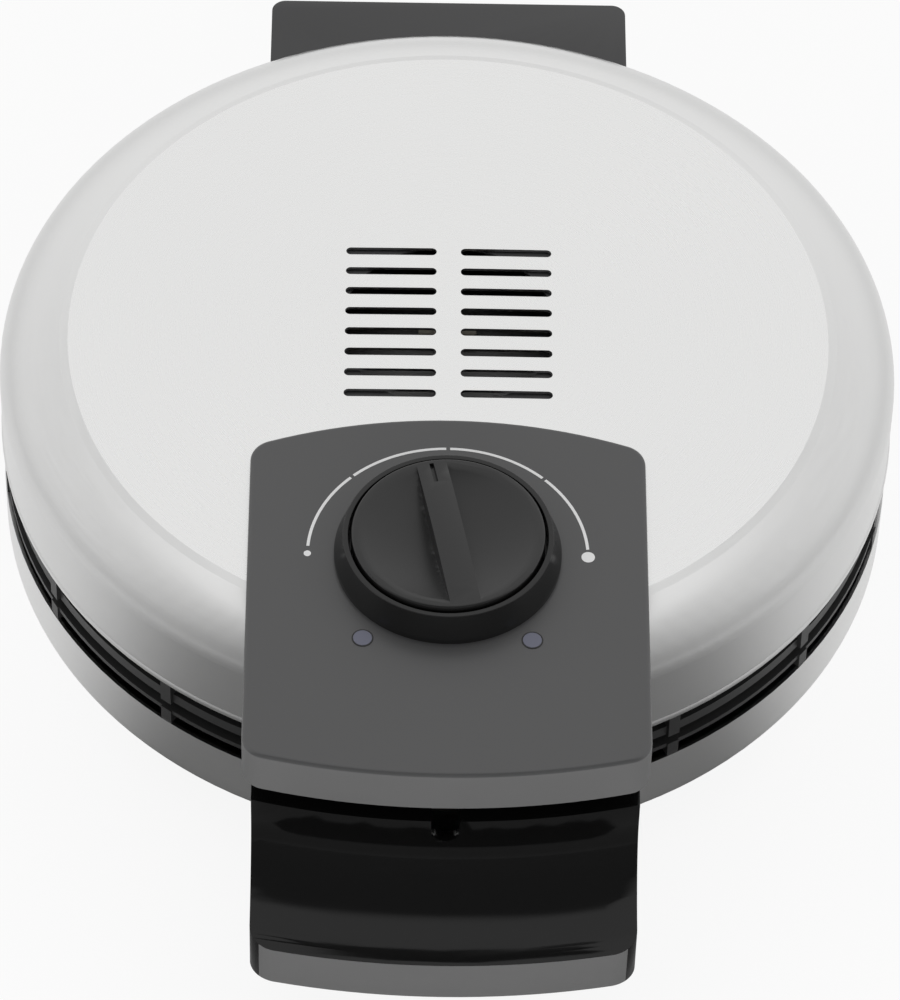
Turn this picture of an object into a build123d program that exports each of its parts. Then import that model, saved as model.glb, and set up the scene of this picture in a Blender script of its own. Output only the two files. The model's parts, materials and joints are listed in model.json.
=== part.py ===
from build123d import *
import os
from math import acos, atan2, cos, degrees, radians, sin, sqrt

os.makedirs("parts", exist_ok=True)

# Driving dimensions of the two steel shells
shell_radius = 107.2
sheet = 0.8
shoulder_reach = 18.0
shoulder_rise = 11.0
rim_height = 44.0
lid_wall_height = 18.0
hem_height = 2.0
hem_swell = 0.3
crease_inset = 15.5
crease_width = 2.0
crease_rise = 0.6
dome_rise = 1.7
base_wall_height = 12.6
base_clearance = 6.4
base_opening_inset = 9.2

# Vent slots in the lid and the baffle below them
slot_length = 21.8
slot_width = 2.3
slot_pitch = 6.49
slot_rows = 8
slot_column_pitch = 27.6
slot_block_y = 1.5
baffle_radius = 45.0
baffle_hole_radius = 25.7

# Baking plates and the five heart pockets
plate_inset = 9.7
plate_thickness = 10.0
plate_parting = 0.3
parting_height = 35.5
heart_count = 5
heart_tip_radius = 11.0
heart_margin = 3.38
heart_lobe_offset = 18.5
heart_lobe_radius = 20.0
pocket_depth = 6.5
stud_pitch = 12.0
stud_side = 8.0
stud_rise = 3.0
stud_margin = 1.5
spill_groove_inset = 6.0
spill_groove_width = 3.0
spill_groove_depth = 1.8

# Carrier rings around the plates
upper_flange_inset = 1.2
upper_flange_thickness = 3.0
lower_flange_inset = 0.6
lower_flange_thickness = 1.3
ring_wall = 2.2
ring_lug_count = 16
ring_lug_width = 3.0
ring_lug_depth = 3.0
ring_lug_turn = 7.5
shelf_reach = 9.0
shelf_thickness = 2.4
upper_recess = 4.0
lower_recess = 3.0

# Heaters, heat shields and posts
heater_ring_inset = 35.5
heater_tube_radius = 3.3
heater_sink = 1.2
heater_open_angle = 34.0
terminal_radius = 2.2
terminal_length = 8.0
shield_sheet = 0.7
shield_inset = 0.5
upper_shield_depth = 7.6
lower_shield_depth = 6.4
post_radius = 4.0
post_inset = 8.7
post_turn = 45.0
post_count = 4

# Control panel and its under cover
panel_half_width = 46.1
panel_height = 4.0
panel_skirt = 12.0
panel_rear_run = 41.7
panel_rear_arc = 125.0
panel_overhang = 29.2
panel_front_arc = 180.0
panel_corner = 6.0
panel_wall = 2.5
panel_edge_round = 1.1
cover_drop = 2.2
cover_half_width = 37.0
panel_boss_radius = 3.5
panel_boss_x = 35.0
panel_boss_runs = (-18.5, 3.5)
cover_screw_x = 24.0
cover_screw_inset = 16.4

# Knob, bezel and thermostat, placed from the lid's wall
knob_inset = 34.7
knob_radius = 22.25
knob_height = 8.3
knob_rim_width = 1.6
knob_bowl_depth = 4.6
knob_floor = 1.5
knob_bar_width = 7.0
knob_bar_arch = 1.0
knob_angle = 11.0
pointer_length = 6.0
pointer_width = 1.0
bezel_foot_radius = 26.2
bezel_foot_height = 1.4
bezel_top_radius = 24.2
bezel_height = 7.3
spindle_radius = 2.4
knob_skirt = 1.8
knob_edge_round = 0.6
spindle_depth = 6.0
spindle_head_cover = 1.6
thermostat_width = 28.0
thermostat_depth = 26.0
thermostat_height = 9.0
thermostat_drop = 1.0
bracket_sheet = 1.2
bracket_foot = 5.0
bush_stand = 0.4
thermostat_bush_radius = 4.9
thermostat_nut_radius = 7.0
thermostat_nut_height = 1.4
sensor_radius = 4.5
sensor_height = 3.0

# Indicator lamps in the panel
lamp_x = 19.3
lamp_run = 24.8
lens_radius = 2.15
lens_stand = 0.15
lens_flange_radius = 3.0
lens_flange = 0.6
board_length = 52.0
board_depth = 10.0
board_thickness = 0.8
board_run = 3.7
lamp_side = 2.4
lamp_height = 0.5
board_stud_radius = 2.0
board_stud_x = 8.0

# Lower handle
handle_half_width = 44.0
handle_stand = 51.8
handle_wall = 2.6
handle_top_rise = 15.0
handle_tray_rise = 8.0
handle_lip_drop = 8.0
handle_lip_height = 11.5
handle_root_height = 12.0
handle_wall_inset = 0.8
handle_lip_flat = 1.5
handle_root_reach = 34.0
handle_corner = 7.0
handle_notch_width = 6.4
handle_notch_depth = 7.2

# Rear blocks and hinge
block_half_width = 44.8
block_stand = 17.8
block_top = 15.0
block_corner = 3.5
block_wall = 2.6
block_screw_x = 13.0
block_screw_rise = 8.5
block_screw_length = 12.0
hinge_inset = 7.0
hinge_drop = 7.0
knuckle_radius = 7.0
ear_radius = 6.2
ear_inner_x = 20.0
ear_outer_x = 32.0
middle_ear_half = 4.0
pin_radius = 2.0
pin_inner_x = 10.0
pin_end_inset = 1.2
sleeve_radius = 2.4
sleeve_wall = 0.8
sleeve_half_length = 8.0
trough_sink = 8.4
block_bottom = 10.0
block_front_rise = 4.4

# Cord inlet
gland_bore_radius = 3.6
gland_radius = 5.4
gland_flange_radius = 6.6
gland_flange = 1.6
gland_height = 19.3
gland_inset = 0.2

# Bottom cover and feet
bottom_cover_overlap = 4.0
bottom_cover_thickness = 2.2
bottom_slot_count = 12
bottom_slot_inset = 22.0
bottom_slot_length = 14.0
bottom_slot_width = 3.0
bottom_slot_turn = 15.0
foot_radius = 8.0
foot_inset = 8.93
foot_turn = 41.76
foot_plug_radius = 3.0
foot_edge_round = 0.8
base_post_inset = 8.0
base_post_turn = 60.0
bolt_x = 34.0
bolt_height = 20.0
foot_plug_head = 1.2

# Fasteners and wiring
screw_radius = 1.5
screw_head_radius = 3.2
screw_head_height = 1.8
screw_grip = 4.0
plate_screw_count = 4
plate_screw_inset = 5.0
plate_screw_turn = 45.0
wide_head_radius = 5.0
wire_radius = 1.0
terminal_block_length = 26.0
terminal_block_depth = 12.0
terminal_block_height = 7.0
terminal_block_inset = 24.0
earth_tab_length = 12.0
earth_tab_width = 6.3
fuse_radius = 2.2
fuse_length = 14.0
upper_wire_x = 30.0
lead_spread = 6.0
insert_thickness = 2.0

# Clearances
touch = 0.02
thread_gap = 0.05
seat_gap = 0.2
hole_gap = 0.3
run_gap = 0.05
slide_gap = 0.5
swing_gap = 0.6
knob_gap = 0.65
lid_gap = 2.0

# Radii and distances from the plate axis
crease_radius = shell_radius - crease_inset
plate_radius = shell_radius - plate_inset
spill_groove_radius = plate_radius - spill_groove_inset
heart_lobe_circle = spill_groove_radius - spill_groove_width / 2 - heart_margin - heart_lobe_radius
heart_lobe_distance = sqrt(heart_lobe_circle**2 - heart_lobe_offset**2)
upper_flange_radius = shell_radius - upper_flange_inset
lower_flange_radius = shell_radius - lower_flange_inset
heater_ring_radius = plate_radius - heater_ring_inset
shield_radius = plate_radius - shield_inset
base_opening_radius = shell_radius - shoulder_reach - base_opening_inset
bottom_cover_radius = base_opening_radius + bottom_cover_overlap
bottom_slot_circle = bottom_cover_radius - bottom_slot_inset
base_post_circle = base_opening_radius - base_post_inset
terminal_block_y = base_opening_radius - terminal_block_inset
foot_circle = bottom_cover_radius - foot_inset
foot_x = foot_circle * cos(radians(foot_turn))
foot_y = foot_circle * sin(radians(foot_turn))
knob_distance = shell_radius - knob_inset
lamp_distance = knob_distance + lamp_run
board_distance = lamp_distance + board_run
panel_boss_distances = [knob_distance + run for run in panel_boss_runs]
panel_rear = knob_distance - panel_rear_run
panel_front = shell_radius + panel_overhang
cover_screw_distance = panel_front - cover_screw_inset
handle_reach = shell_radius + handle_stand
block_reach = shell_radius + block_stand

# The plate axis stands where the whole length is centred on the origin
plate_y = (handle_reach - block_reach) / 2
knob_y = plate_y - knob_distance
plate_axis = Axis((0, plate_y, 0), (0, 0, 1))
knob_axis = Axis((0, knob_y, 0), (0, 0, 1))
arc_centre_y = plate_y - panel_front + panel_front_arc
arc_axis = Axis((0, arc_centre_y, 0), (0, 0, 1))

# Section planes: local x is the radius and local y is the height
plate_section = Plane(origin=(0, plate_y, 0), x_dir=(1, 0, 0), z_dir=(0, -1, 0))
knob_section = Plane(origin=(0, knob_y, 0), x_dir=(1, 0, 0), z_dir=(0, -1, 0))
arc_section = Plane(origin=(0, arc_centre_y, 0), x_dir=(0, -1, 0), z_dir=(-1, 0, 0))

# Heights worked out from the driving dimensions
shoulder_centre = shell_radius - shoulder_reach
lid_shoulder_z = rim_height + lid_wall_height
lid_crest_z = lid_shoulder_z + shoulder_rise
crease_cosine = (crease_radius + crease_width / 2 - shoulder_centre) / shoulder_reach
crease_angle = degrees(acos(crease_cosine))
disc_edge_z = lid_shoulder_z + shoulder_rise * sin(radians(crease_angle)) + crease_rise
apex_z = disc_edge_z + dome_rise
disc_edge_radius = crease_radius - crease_width / 2
base_shoulder_z = base_clearance + shoulder_rise
base_top_z = base_shoulder_z + base_wall_height
panel_top_z = lid_crest_z + panel_height
panel_bottom_z = panel_top_z - panel_skirt
panel_ceiling_z = panel_top_z - panel_wall
cover_bottom_z = panel_bottom_z - cover_drop
upper_face_z = parting_height + plate_parting
upper_back_z = upper_face_z + plate_thickness
lower_back_z = parting_height - plate_thickness
upper_flange_top = rim_height - upper_recess
upper_flange_bottom = upper_flange_top - upper_flange_thickness
lower_flange_bottom = base_top_z + lower_recess
lower_flange_top = lower_flange_bottom + lower_flange_thickness
upper_shelf_top = upper_back_z + shelf_thickness
lower_shelf_bottom = lower_back_z - shelf_thickness
upper_shield_top = upper_shelf_top + upper_shield_depth
lower_shield_bottom = lower_shelf_bottom - lower_shield_depth
ring_bore = plate_radius + slide_gap
shelf_bore = ring_bore - shelf_reach
plate_screw_circle = ring_bore - plate_screw_inset
shield_wall_radius = shelf_bore - hole_gap
post_circle = shield_wall_radius - post_inset
hinge_y = plate_y + block_reach - hinge_inset
hinge_z = rim_height - hinge_drop
block_rear_y = plate_y + block_reach
block_top_z = rim_height + block_top
block_screw_z = rim_height + block_screw_rise
block_shelf_z = hinge_z - trough_sink
pin_outer_x = block_half_width - pin_end_inset
lug_radius = shell_radius - seat_gap - ring_lug_depth / 2
thermostat_top = apex_z - dome_rise - sheet - thermostat_drop
thermostat_bottom = thermostat_top - thermostat_height
bush_top = panel_top_z + thermostat_nut_height + bush_stand
knob_bottom_z = panel_top_z + slide_gap
knob_top_z = panel_top_z + knob_height
knob_bowl_radius = knob_radius - knob_rim_width
knob_bowl_z = knob_top_z - knob_bowl_depth
knob_floor_z = knob_bowl_z - knob_floor
lens_bottom = panel_ceiling_z - lens_flange
lamp_bottom = lens_bottom - touch - lamp_height
board_bottom = lamp_bottom - board_thickness
handle_top_z = rim_height + handle_top_rise
handle_tray_z = rim_height + handle_tray_rise
handle_lip_z = rim_height - handle_lip_drop
handle_lip_bottom = handle_lip_z - handle_lip_height
handle_lip_arc = handle_reach - panel_front + panel_front_arc
handle_wall_arc = panel_front_arc - handle_wall_inset
handle_back_y = plate_y - shell_radius + sheet
insert_front_y = plate_y - handle_reach
insert_back_y = plate_y - shell_radius + sheet
block_front_z = hinge_z - block_front_rise
slot_half_height = ear_radius + 2 * swing_gap
ear_spans = [(-ear_outer_x, -ear_inner_x), (-middle_ear_half, middle_ear_half), (ear_inner_x, ear_outer_x)]
gland_end_y = block_rear_y - gland_inset
block_wall_y = block_rear_y - block_wall
rear_path_radius = shell_radius + hem_swell + seat_gap
lid_block_y = plate_y + sqrt(rear_path_radius**2 - block_half_width**2)
block_screw_end_y = plate_y + shell_radius + block_screw_length
lid_block_z = hinge_z + knuckle_radius / 2
screw_head_y = plate_y + sqrt((shell_radius - sheet) ** 2 - (block_screw_x + screw_head_radius) ** 2) - touch
spindle_top = knob_top_z - spindle_head_cover
block_bolts = [(-bolt_x, bolt_height), (bolt_x, bolt_height)]
handle_bolts = [(-bolt_x, bolt_height), (bolt_x, bolt_height)]


def level(height):
    """Horizontal plane centred on the plate axis."""
    return Plane(origin=(0, plate_y, height))


def knob_level(height):
    """Horizontal plane centred on the knob's axis."""
    return Plane(origin=(0, knob_y, height))


def section_at(angle):
    """Section plane through the plate axis, turned by an angle about it."""
    way = radians(angle)
    return Plane(origin=(0, plate_y, 0), x_dir=(cos(way), sin(way), 0), z_dir=(sin(way), -cos(way), 0))


def across(x):
    """Upright plane facing +X at a distance from the middle."""
    return Plane(origin=(x, 0, 0), x_dir=(0, 1, 0), z_dir=(1, 0, 0))


def dome_z(radius):
    """Height of the lid's outside on the domed disc."""
    return apex_z - dome_rise * (radius / disc_edge_radius) ** 2


def lid_outside(grow):
    """Half section of the lid's outside, standing off it by grow."""
    centre = (shoulder_centre, lid_shoulder_z)
    with BuildSketch() as section:
        with BuildLine():
            shoulder = EllipticalCenterArc(
                centre, shoulder_reach + grow, shoulder_rise + grow, 0, arc_size=crease_angle
            )
            ramp = Line(shoulder @ 1, (disc_edge_radius, disc_edge_z + grow))
            dome = TangentArc((0, apex_z + grow), ramp @ 1, tangent=(1, 0))
            Polyline(dome @ 0, (0, rim_height), (shell_radius + grow, rim_height), shoulder @ 0)
        make_face()
    return section.sketch


def base_outside(grow):
    """Half section of the base shell's outside, standing off it by grow."""
    centre = (shoulder_centre, base_shoulder_z)
    with BuildSketch() as section:
        with BuildLine():
            shoulder = EllipticalCenterArc(
                centre, shoulder_reach + grow, shoulder_rise + grow, 270, arc_size=90
            )
            Polyline(
                shoulder @ 1,
                (shell_radius + grow, base_top_z),
                (0, base_top_z),
                (0, base_clearance - grow),
                shoulder @ 0,
            )
        make_face()
    return section.sketch


def draw_ring_box(inner, outer, low, high):
    """Rectangle of a half section, between two radii and two heights."""
    with Locations(((inner + outer) / 2, (low + high) / 2)):
        Rectangle(outer - inner, high - low)


def panel_plan(inset):
    """Plan of the control panel, drawn inside its edge by inset."""
    half = panel_half_width - inset
    rear = plate_y - panel_rear - inset
    front = plate_y - panel_front + inset
    rear_arc = panel_rear_arc - inset
    front_arc = panel_front_arc - inset
    rear_corner = rear - rear_arc + sqrt(rear_arc**2 - half**2)
    front_corner = front + front_arc - sqrt(front_arc**2 - half**2)
    with BuildSketch() as plan:
        with BuildLine():
            ThreePointArc((-half, rear_corner), (0, rear), (half, rear_corner))
            Line((half, rear_corner), (half, front_corner))
            ThreePointArc((half, front_corner), (0, front), (-half, front_corner))
            Line((-half, front_corner), (-half, rear_corner))
        make_face()
        fillet(plan.vertices(), panel_corner - inset)
    return plan.sketch


def heart_outline():
    """One heart pocket, with its tip towards the plate axis and its lobes along +X."""
    span = heart_lobe_distance - heart_tip_radius
    tip_to_lobe = sqrt(span**2 + heart_lobe_offset**2)
    lean = atan2(heart_lobe_offset, span)
    turn = radians(180) + lean - acos(heart_lobe_radius / tip_to_lobe)
    side_x = heart_lobe_distance + heart_lobe_radius * cos(turn)
    side_y = heart_lobe_offset + heart_lobe_radius * sin(turn)
    notch_x = heart_lobe_distance + sqrt(heart_lobe_radius**2 - heart_lobe_offset**2)
    crown = heart_lobe_radius * sin(radians(45))
    crown_x = heart_lobe_distance + crown
    crown_y = heart_lobe_offset + crown
    with BuildSketch() as heart:
        with BuildLine():
            Line((heart_tip_radius, 0), (side_x, side_y))
            ThreePointArc((side_x, side_y), (crown_x, crown_y), (notch_x, 0))
            ThreePointArc((notch_x, 0), (crown_x, -crown_y), (side_x, -side_y))
            Line((side_x, -side_y), (heart_tip_radius, 0))
        make_face()
    return heart.sketch


def waffle_studs():
    """The raised squares that leave a waffle's hollows, kept inside one heart."""
    count = int(2 * (heart_lobe_distance + heart_lobe_radius) / stud_pitch) + 1
    with BuildSketch() as room:
        add(heart_outline())
        offset(amount=-stud_margin)
    with BuildSketch() as studs:
        with GridLocations(stud_pitch, stud_pitch, count, count):
            Rectangle(stud_side, stud_side)
        add(room.sketch, mode=Mode.INTERSECT)
    return studs.sketch


def draw_screw_ring(radius):
    """A ring of round heads, shanks or holes where the plate screws stand."""
    with PolarLocations(plate_screw_circle, plate_screw_count, start_angle=plate_screw_turn):
        Circle(radius)


heart = heart_outline()
studs = waffle_studs()

with BuildPart() as lid_envelope:
    with BuildSketch(plate_section):
        add(lid_outside(seat_gap))
    revolve(axis=plate_axis)

with BuildPart() as base_envelope:
    with BuildSketch(plate_section):
        add(base_outside(seat_gap))
    revolve(axis=plate_axis)


def baking_plate(face, turn):
    """A plate from its face inwards: heart pockets, spill groove, and seats in its back."""
    with BuildPart() as plate:
        with BuildSketch(face):
            Circle(plate_radius)
        extrude(amount=plate_thickness)
        with BuildSketch(face):
            with PolarLocations(0, heart_count, start_angle=turn):
                add(heart)
        extrude(amount=pocket_depth, mode=Mode.SUBTRACT)
        with BuildSketch(face.offset(pocket_depth - stud_rise)):
            with PolarLocations(0, heart_count, start_angle=turn):
                add(studs)
        extrude(amount=stud_rise)
        with BuildSketch(face):
            Circle(spill_groove_radius + spill_groove_width / 2)
            Circle(spill_groove_radius - spill_groove_width / 2, mode=Mode.SUBTRACT)
        extrude(amount=spill_groove_depth, mode=Mode.SUBTRACT)
        with BuildSketch(face.offset(plate_thickness - heater_sink)):
            Circle(heater_ring_radius + heater_tube_radius + hole_gap)
            Circle(heater_ring_radius - heater_tube_radius - hole_gap, mode=Mode.SUBTRACT)
        extrude(amount=heater_sink, mode=Mode.SUBTRACT)
        with BuildSketch(face.offset(plate_thickness - screw_grip)):
            draw_screw_ring(screw_radius + thread_gap)
        extrude(amount=screw_grip, mode=Mode.SUBTRACT)
    return plate


def heater_ring(height):
    """Open ring of round heater tube."""
    with BuildPart() as ring:
        with BuildSketch(section_at(90 + heater_open_angle / 2)):
            with Locations((heater_ring_radius, height)):
                Circle(heater_tube_radius)
        revolve(axis=plate_axis, revolution_arc=360 - heater_open_angle)
    return ring


def heater_ends(height):
    """The two cold ends that carry on from the heater's ring."""
    with BuildPart() as ends:
        for side in (-1, 1):
            with BuildSketch(section_at(90 - side * heater_open_angle / 2)):
                with Locations((heater_ring_radius, height)):
                    Circle(terminal_radius)
            extrude(amount=-side * terminal_length)
    return ends


def plate_screws(head_z, shank_z, way):
    """Round-headed screws that hold a plate, a shelf and a heat shield together."""
    with BuildPart() as screws:
        with BuildSketch(level(head_z)):
            draw_screw_ring(screw_head_radius)
        extrude(amount=way * screw_head_height)
        with BuildSketch(level(head_z)):
            draw_screw_ring(screw_radius)
        extrude(amount=shank_z - head_z)
    return screws


def wire(points, bend):
    """A round wire along straight runs joined by bends."""
    with BuildPart() as lead:
        with BuildLine() as run:
            FilletPolyline(*points, radius=bend)
        with BuildSketch(Plane(origin=run.line @ 0, z_dir=run.line % 0)):
            Circle(wire_radius)
        sweep(path=run.line)
    return lead.part


def handle_shape(inset):
    """The lower handle's outside, drawn inside itself by inset."""
    half = handle_half_width - inset
    reach = handle_lip_arc - inset
    side_y = arc_centre_y - sqrt(reach**2 - half**2)
    with BuildPart() as shape:
        with BuildSketch(Plane.XY):
            with BuildLine():
                ThreePointArc((-half, side_y), (0, arc_centre_y - reach), (half, side_y))
                Polyline((half, side_y), (half, handle_back_y), (-half, handle_back_y), (-half, side_y))
            plan = make_face()
            fillet(plan.vertices().group_by(Axis.Y)[0], handle_corner - inset)
        extrude(amount=handle_top_z)
        with BuildSketch(arc_section):
            with BuildLine():
                tray_depth = handle_lip_arc - handle_wall_arc - handle_lip_flat
                tray = EllipticalCenterArc(
                    (handle_lip_arc - handle_lip_flat, handle_tray_z),
                    tray_depth + inset,
                    handle_tray_z - handle_lip_z + inset,
                    180,
                    arc_size=90,
                )
                Polyline(
                    tray @ 1,
                    (handle_lip_arc + block_wall, handle_lip_z - inset),
                    (handle_lip_arc + block_wall, handle_lip_bottom + inset),
                    (handle_wall_arc - handle_root_reach, handle_root_height + inset),
                    (handle_wall_arc - handle_root_reach, handle_top_z - inset),
                    (handle_wall_arc - inset, handle_top_z - inset),
                    tray @ 0,
                )
            make_face()
        revolve(axis=arc_axis, revolution_arc=360, mode=Mode.INTERSECT)
    return shape.part


# Room that the lid keeps behind its own rim
with BuildPart() as rear_path:
    with BuildSketch(level(base_top_z)):
        Circle(rear_path_radius)
    extrude(amount=handle_top_z)

# Lid shell: domed steel with a rolled hem, a raised disc and vent slots
panel_bosses = [(x, plate_y - y) for x in (-panel_boss_x, panel_boss_x) for y in panel_boss_distances]
board_wires = [(x, plate_y - board_distance) for x in (-board_stud_x, board_stud_x)]
with BuildPart() as lid_shell:
    with BuildSketch(plate_section):
        add(lid_outside(0))
    revolve(axis=plate_axis)
    with BuildSketch(plate_section):
        add(lid_outside(-sheet))
    revolve(axis=plate_axis, mode=Mode.SUBTRACT)
    with BuildSketch(plate_section) as hem:
        draw_ring_box(shell_radius - sheet, shell_radius + hem_swell, rim_height, rim_height + hem_height)
        fillet(hem.vertices().group_by(Axis.X)[-1], hem_height * 0.4)
    revolve(axis=plate_axis)
    with BuildSketch(level(lid_shoulder_z)):
        with Locations((0, slot_block_y)):
            with GridLocations(slot_column_pitch, slot_pitch, 2, slot_rows):
                SlotOverall(slot_length, slot_width)
    extrude(amount=panel_top_z - lid_shoulder_z, mode=Mode.SUBTRACT)
    with BuildSketch(knob_level(lid_shoulder_z)):
        Circle(thermostat_bush_radius + slide_gap)
    extrude(amount=panel_top_z - lid_shoulder_z, mode=Mode.SUBTRACT)
    with BuildSketch(Plane.XY.offset(lid_shoulder_z)):
        with Locations(*panel_bosses):
            Circle(panel_boss_radius + hole_gap)
        with Locations(*board_wires):
            Circle(wire_radius + hole_gap)
    extrude(amount=panel_top_z - lid_shoulder_z, mode=Mode.SUBTRACT)
    with BuildSketch(Plane.XZ.offset(-plate_y)):
        with Locations((-block_screw_x, block_screw_z), (block_screw_x, block_screw_z)):
            Circle(screw_radius + hole_gap)
    extrude(amount=-shell_radius - hem_swell, mode=Mode.SUBTRACT)
lid_shell.part.label = "lid_shell"
export_step(lid_shell.part, "parts/lid_shell.step")

# Vent baffle: a dark sheet under the slots with a round hole
baffle_top = dome_z(baffle_radius + slot_block_y) - sheet - seat_gap
with BuildPart() as vent_baffle:
    with BuildSketch(level(baffle_top - shield_sheet)):
        with Locations((0, slot_block_y)):
            Circle(baffle_radius)
            Circle(baffle_hole_radius, mode=Mode.SUBTRACT)
    extrude(amount=shield_sheet)
vent_baffle.part.label = "vent_baffle"
export_step(vent_baffle.part, "parts/vent_baffle.step")

# Upper carrier ring: the dark flange under the lid's hem, with lugs and a shelf for the plate
with BuildPart() as upper_ring:
    with BuildSketch(plate_section):
        draw_ring_box(ring_bore, upper_flange_radius, upper_flange_bottom, upper_flange_top)
        draw_ring_box(ring_bore, ring_bore + ring_wall, upper_flange_bottom, upper_shelf_top)
        draw_ring_box(shelf_bore, ring_bore + ring_wall, upper_back_z, upper_shelf_top)
    revolve(axis=plate_axis)
    with BuildSketch(level(upper_flange_bottom)):
        with PolarLocations(lug_radius, ring_lug_count, start_angle=ring_lug_turn):
            Rectangle(ring_lug_depth, ring_lug_width)
    extrude(amount=rim_height - touch - upper_flange_bottom)
    with BuildSketch(level(upper_back_z)):
        draw_screw_ring(screw_radius + hole_gap)
    extrude(amount=shelf_thickness, mode=Mode.SUBTRACT)
upper_ring.part.label = "upper_ring"
export_step(upper_ring.part, "parts/upper_ring.step")

# Upper baking plate
upper_plate = baking_plate(level(upper_face_z), 90)
upper_plate.part.label = "upper_plate"
export_step(upper_plate.part, "parts/upper_plate.step")

# Upper heater and its cold ends
upper_heater_z = upper_back_z + heater_tube_radius - heater_sink
upper_heater = heater_ring(upper_heater_z)
upper_heater.part.label = "upper_heater"
export_step(upper_heater.part, "parts/upper_heater.step")

upper_heater_ends = heater_ends(upper_heater_z)
upper_heater_ends.part.label = "upper_heater_ends"
export_step(upper_heater_ends.part, "parts/upper_heater_ends.step")

# Upper heat shield: a shallow dish turned over the heater
with BuildPart() as upper_heat_shield:
    with BuildSketch(plate_section):
        draw_ring_box(
            shield_wall_radius - shield_sheet, shield_radius, upper_shelf_top, upper_shelf_top + shield_sheet
        )
        draw_ring_box(
            shield_wall_radius - shield_sheet, shield_wall_radius, upper_shelf_top, upper_shield_top
        )
        draw_ring_box(0, shield_wall_radius, upper_shield_top - shield_sheet, upper_shield_top)
    revolve(axis=plate_axis)
    with BuildSketch(level(upper_shelf_top)):
        draw_screw_ring(screw_radius + hole_gap)
    extrude(amount=shield_sheet, mode=Mode.SUBTRACT)
upper_heat_shield.part.label = "upper_heat_shield"
export_step(upper_heat_shield.part, "parts/upper_heat_shield.step")

upper_plate_screws = plate_screws(upper_shelf_top + shield_sheet, upper_back_z - screw_grip + seat_gap, 1)
upper_plate_screws.part.label = "upper_plate_screws"
export_step(upper_plate_screws.part, "parts/upper_plate_screws.step")

# Posts between the upper heat shield and the lid
lid_post_top = dome_z(post_circle + post_radius) - sheet - seat_gap
with BuildPart() as lid_posts:
    with BuildSketch(level(upper_shield_top)):
        with PolarLocations(post_circle, post_count, start_angle=post_turn):
            Circle(post_radius)
    extrude(amount=lid_post_top - upper_shield_top)
lid_posts.part.label = "lid_posts"
export_step(lid_posts.part, "parts/lid_posts.step")

# Control panel: a plastic moulding over the lid's front, hollow from below
boss_reach = sqrt(panel_boss_x**2 + max(panel_boss_distances) ** 2) + wide_head_radius
boss_bottom = dome_z(boss_reach) - sheet - seat_gap
with BuildPart() as control_panel:
    with BuildSketch(Plane.XY.offset(panel_bottom_z)):
        add(panel_plan(0))
    extrude(amount=panel_skirt)
    fillet(control_panel.faces().sort_by(Axis.Z)[-1].edges(), panel_edge_round)
    with BuildSketch(Plane.XY.offset(panel_bottom_z)):
        add(panel_plan(panel_wall))
    extrude(amount=panel_ceiling_z - panel_bottom_z, mode=Mode.SUBTRACT)
    with BuildSketch(Plane.XY.offset(panel_ceiling_z)):
        with Locations(*[(x, plate_y - cover_screw_distance) for x in (-cover_screw_x, cover_screw_x)]):
            Circle(panel_boss_radius)
    extrude(amount=panel_bottom_z + seat_gap - panel_ceiling_z)
    with BuildSketch(Plane.XY.offset(panel_ceiling_z)):
        with Locations(*board_wires):
            Circle(board_stud_radius)
    extrude(amount=lamp_bottom + touch - panel_ceiling_z)
    add(lid_envelope.part, mode=Mode.SUBTRACT)
    with BuildSketch(Plane.XY.offset(panel_ceiling_z)):
        with Locations(*panel_bosses):
            Circle(panel_boss_radius)
    extrude(amount=boss_bottom - panel_ceiling_z)
    with BuildSketch(Plane.XY.offset(boss_bottom)):
        with Locations(*panel_bosses):
            Circle(screw_radius + thread_gap)
    extrude(amount=screw_grip, mode=Mode.SUBTRACT)
    with BuildSketch(Plane.XY.offset(panel_bottom_z)):
        with Locations(*[(x, plate_y - cover_screw_distance) for x in (-cover_screw_x, cover_screw_x)]):
            Circle(screw_radius + thread_gap)
    extrude(amount=screw_grip + seat_gap, mode=Mode.SUBTRACT)
    with BuildSketch(knob_level(panel_bottom_z)):
        Circle(thermostat_bush_radius + hole_gap)
    extrude(amount=panel_skirt, mode=Mode.SUBTRACT)
    with BuildSketch(Plane.XY.offset(panel_ceiling_z)):
        with Locations((-lamp_x, plate_y - lamp_distance), (lamp_x, plate_y - lamp_distance)):
            Circle(lens_radius + thread_gap)
    extrude(amount=panel_wall, mode=Mode.SUBTRACT)
control_panel.part.label = "control_panel"
export_step(control_panel.part, "parts/control_panel.step")

with BuildPart() as panel_screws:
    with BuildSketch(Plane.XY.offset(boss_bottom)):
        with Locations(*panel_bosses):
            Circle(wide_head_radius)
    extrude(amount=-screw_head_height)
    with BuildSketch(Plane.XY.offset(boss_bottom)):
        with Locations(*panel_bosses):
            Circle(screw_radius)
    extrude(amount=screw_grip - seat_gap)
panel_screws.part.label = "panel_screws"
export_step(panel_screws.part, "parts/panel_screws.step")

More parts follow.
